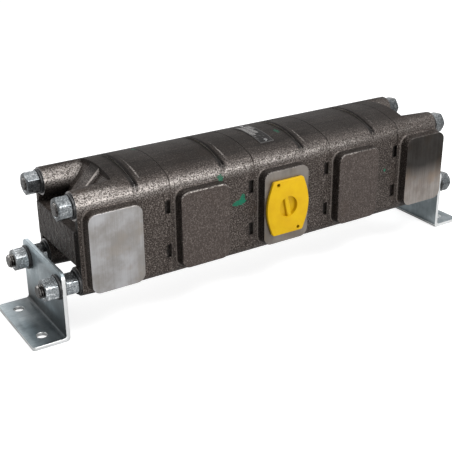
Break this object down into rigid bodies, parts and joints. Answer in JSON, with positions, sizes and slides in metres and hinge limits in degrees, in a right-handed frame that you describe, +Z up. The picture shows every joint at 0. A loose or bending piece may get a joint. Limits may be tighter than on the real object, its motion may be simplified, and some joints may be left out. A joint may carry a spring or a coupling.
{
  "type": "rotary flow divider",
  "caption": "Rotary gear flow divider: cast iron sections and end covers on long tie rods, front inlet port with a push-in plug, rear outlets, meshed gear pairs inside and angle foot brackets.",
  "frame": {"origin": "on the underside of the feet, in the middle of the four foot holes", "axes": "+X along the body, -Y is the side with the port pads, +Z up"},
  "size_m": [0.5576, 0.1202, 0.1559],
  "materials": {
    "castings": "as cast, oiled, with machined port faces",
    "gear_steel": "ground",
    "bearing_bronze": "turned",
    "seal_rubber": "matt",
    "rod_steel": "zinc plated",
    "black_washers": "black oxide",
    "zinc_nuts": "zinc plated",
    "zinc_sheet": "bright zinc plated",
    "yellow_plastic": "moulded, semi matt",
    "plate_aluminium": "satin, blank"
  },
  "bodies": {
    "housing": {"left_end_cover": "castings", "right_end_cover": "castings", "gear_housing_1": "castings", "gear_housing_2": "castings", "gear_housing_3": "castings", "gear_housing_4": "castings", "bearing_carrier_1": "castings", "bearing_carrier_2": "castings", "bearing_carrier_3": "castings", "bushings_1": "bearing_bronze", "wear_plates_1": "bearing_bronze", "bushings_2": "bearing_bronze", "wear_plates_2": "bearing_bronze", "bushings_3": "bearing_bronze", "wear_plates_3": "bearing_bronze", "bushings_4": "bearing_bronze", "wear_plates_4": "bearing_bronze", "section_seals": "seal_rubber", "dowel_pins": "gear_steel", "top_tie_rods": "rod_steel", "bottom_tie_rods": "rod_steel", "cover_washers": "black_washers", "bracket_washers": "black_washers", "tall_nuts": "zinc_nuts", "hex_spacers": "zinc_nuts", "bracket_nuts": "zinc_nuts", "left_bracket": "zinc_sheet", "right_bracket": "zinc_sheet", "nameplate": "plate_aluminium", "nameplate_screws": "rod_steel"},
    "drive_train": {"drive_gear_1": "gear_steel", "drive_gear_2": "gear_steel", "drive_gear_3": "gear_steel", "drive_gear_4": "gear_steel", "coupling_sleeve_1": "gear_steel", "coupling_sleeve_2": "gear_steel", "coupling_sleeve_3": "gear_steel"},
    "driven_1": {"driven_gear_1": "gear_steel"},
    "driven_2": {"driven_gear_2": "gear_steel"},
    "driven_3": {"driven_gear_3": "gear_steel"},
    "driven_4": {"driven_gear_4": "gear_steel"},
    "plug": {"inlet_plug": "yellow_plastic"}
  },
  "joints": [
    {"name": "drive_train_spin", "type": "hinge", "parent": "housing", "child": "drive_train", "pos_m": [0, 0, 0.115], "axis": [1, 0, 0], "continuous": true},
    {"name": "driven_1_spin", "type": "hinge", "parent": "housing", "child": "driven_1", "pos_m": [0, 0, 0.073], "axis": [1, 0, 0], "continuous": true},
    {"name": "driven_2_spin", "type": "hinge", "parent": "housing", "child": "driven_2", "pos_m": [0, 0, 0.073], "axis": [1, 0, 0], "continuous": true},
    {"name": "driven_3_spin", "type": "hinge", "parent": "housing", "child": "driven_3", "pos_m": [0, 0, 0.073], "axis": [1, 0, 0], "continuous": true},
    {"name": "driven_4_spin", "type": "hinge", "parent": "housing", "child": "driven_4", "pos_m": [0, 0, 0.073], "axis": [1, 0, 0], "continuous": true},
    {"name": "plug_pull", "type": "slide", "parent": "housing", "child": "plug", "axis": [0, -1, 0], "range_m": [0, 0.03]}
  ],
  "couplings": [
    {"joint": "driven_1_spin", "follows": "drive_train_spin", "ratio": -1},
    {"joint": "driven_2_spin", "follows": "drive_train_spin", "ratio": -1},
    {"joint": "driven_3_spin", "follows": "drive_train_spin", "ratio": -1},
    {"joint": "driven_4_spin", "follows": "drive_train_spin", "ratio": -1}
  ]
}
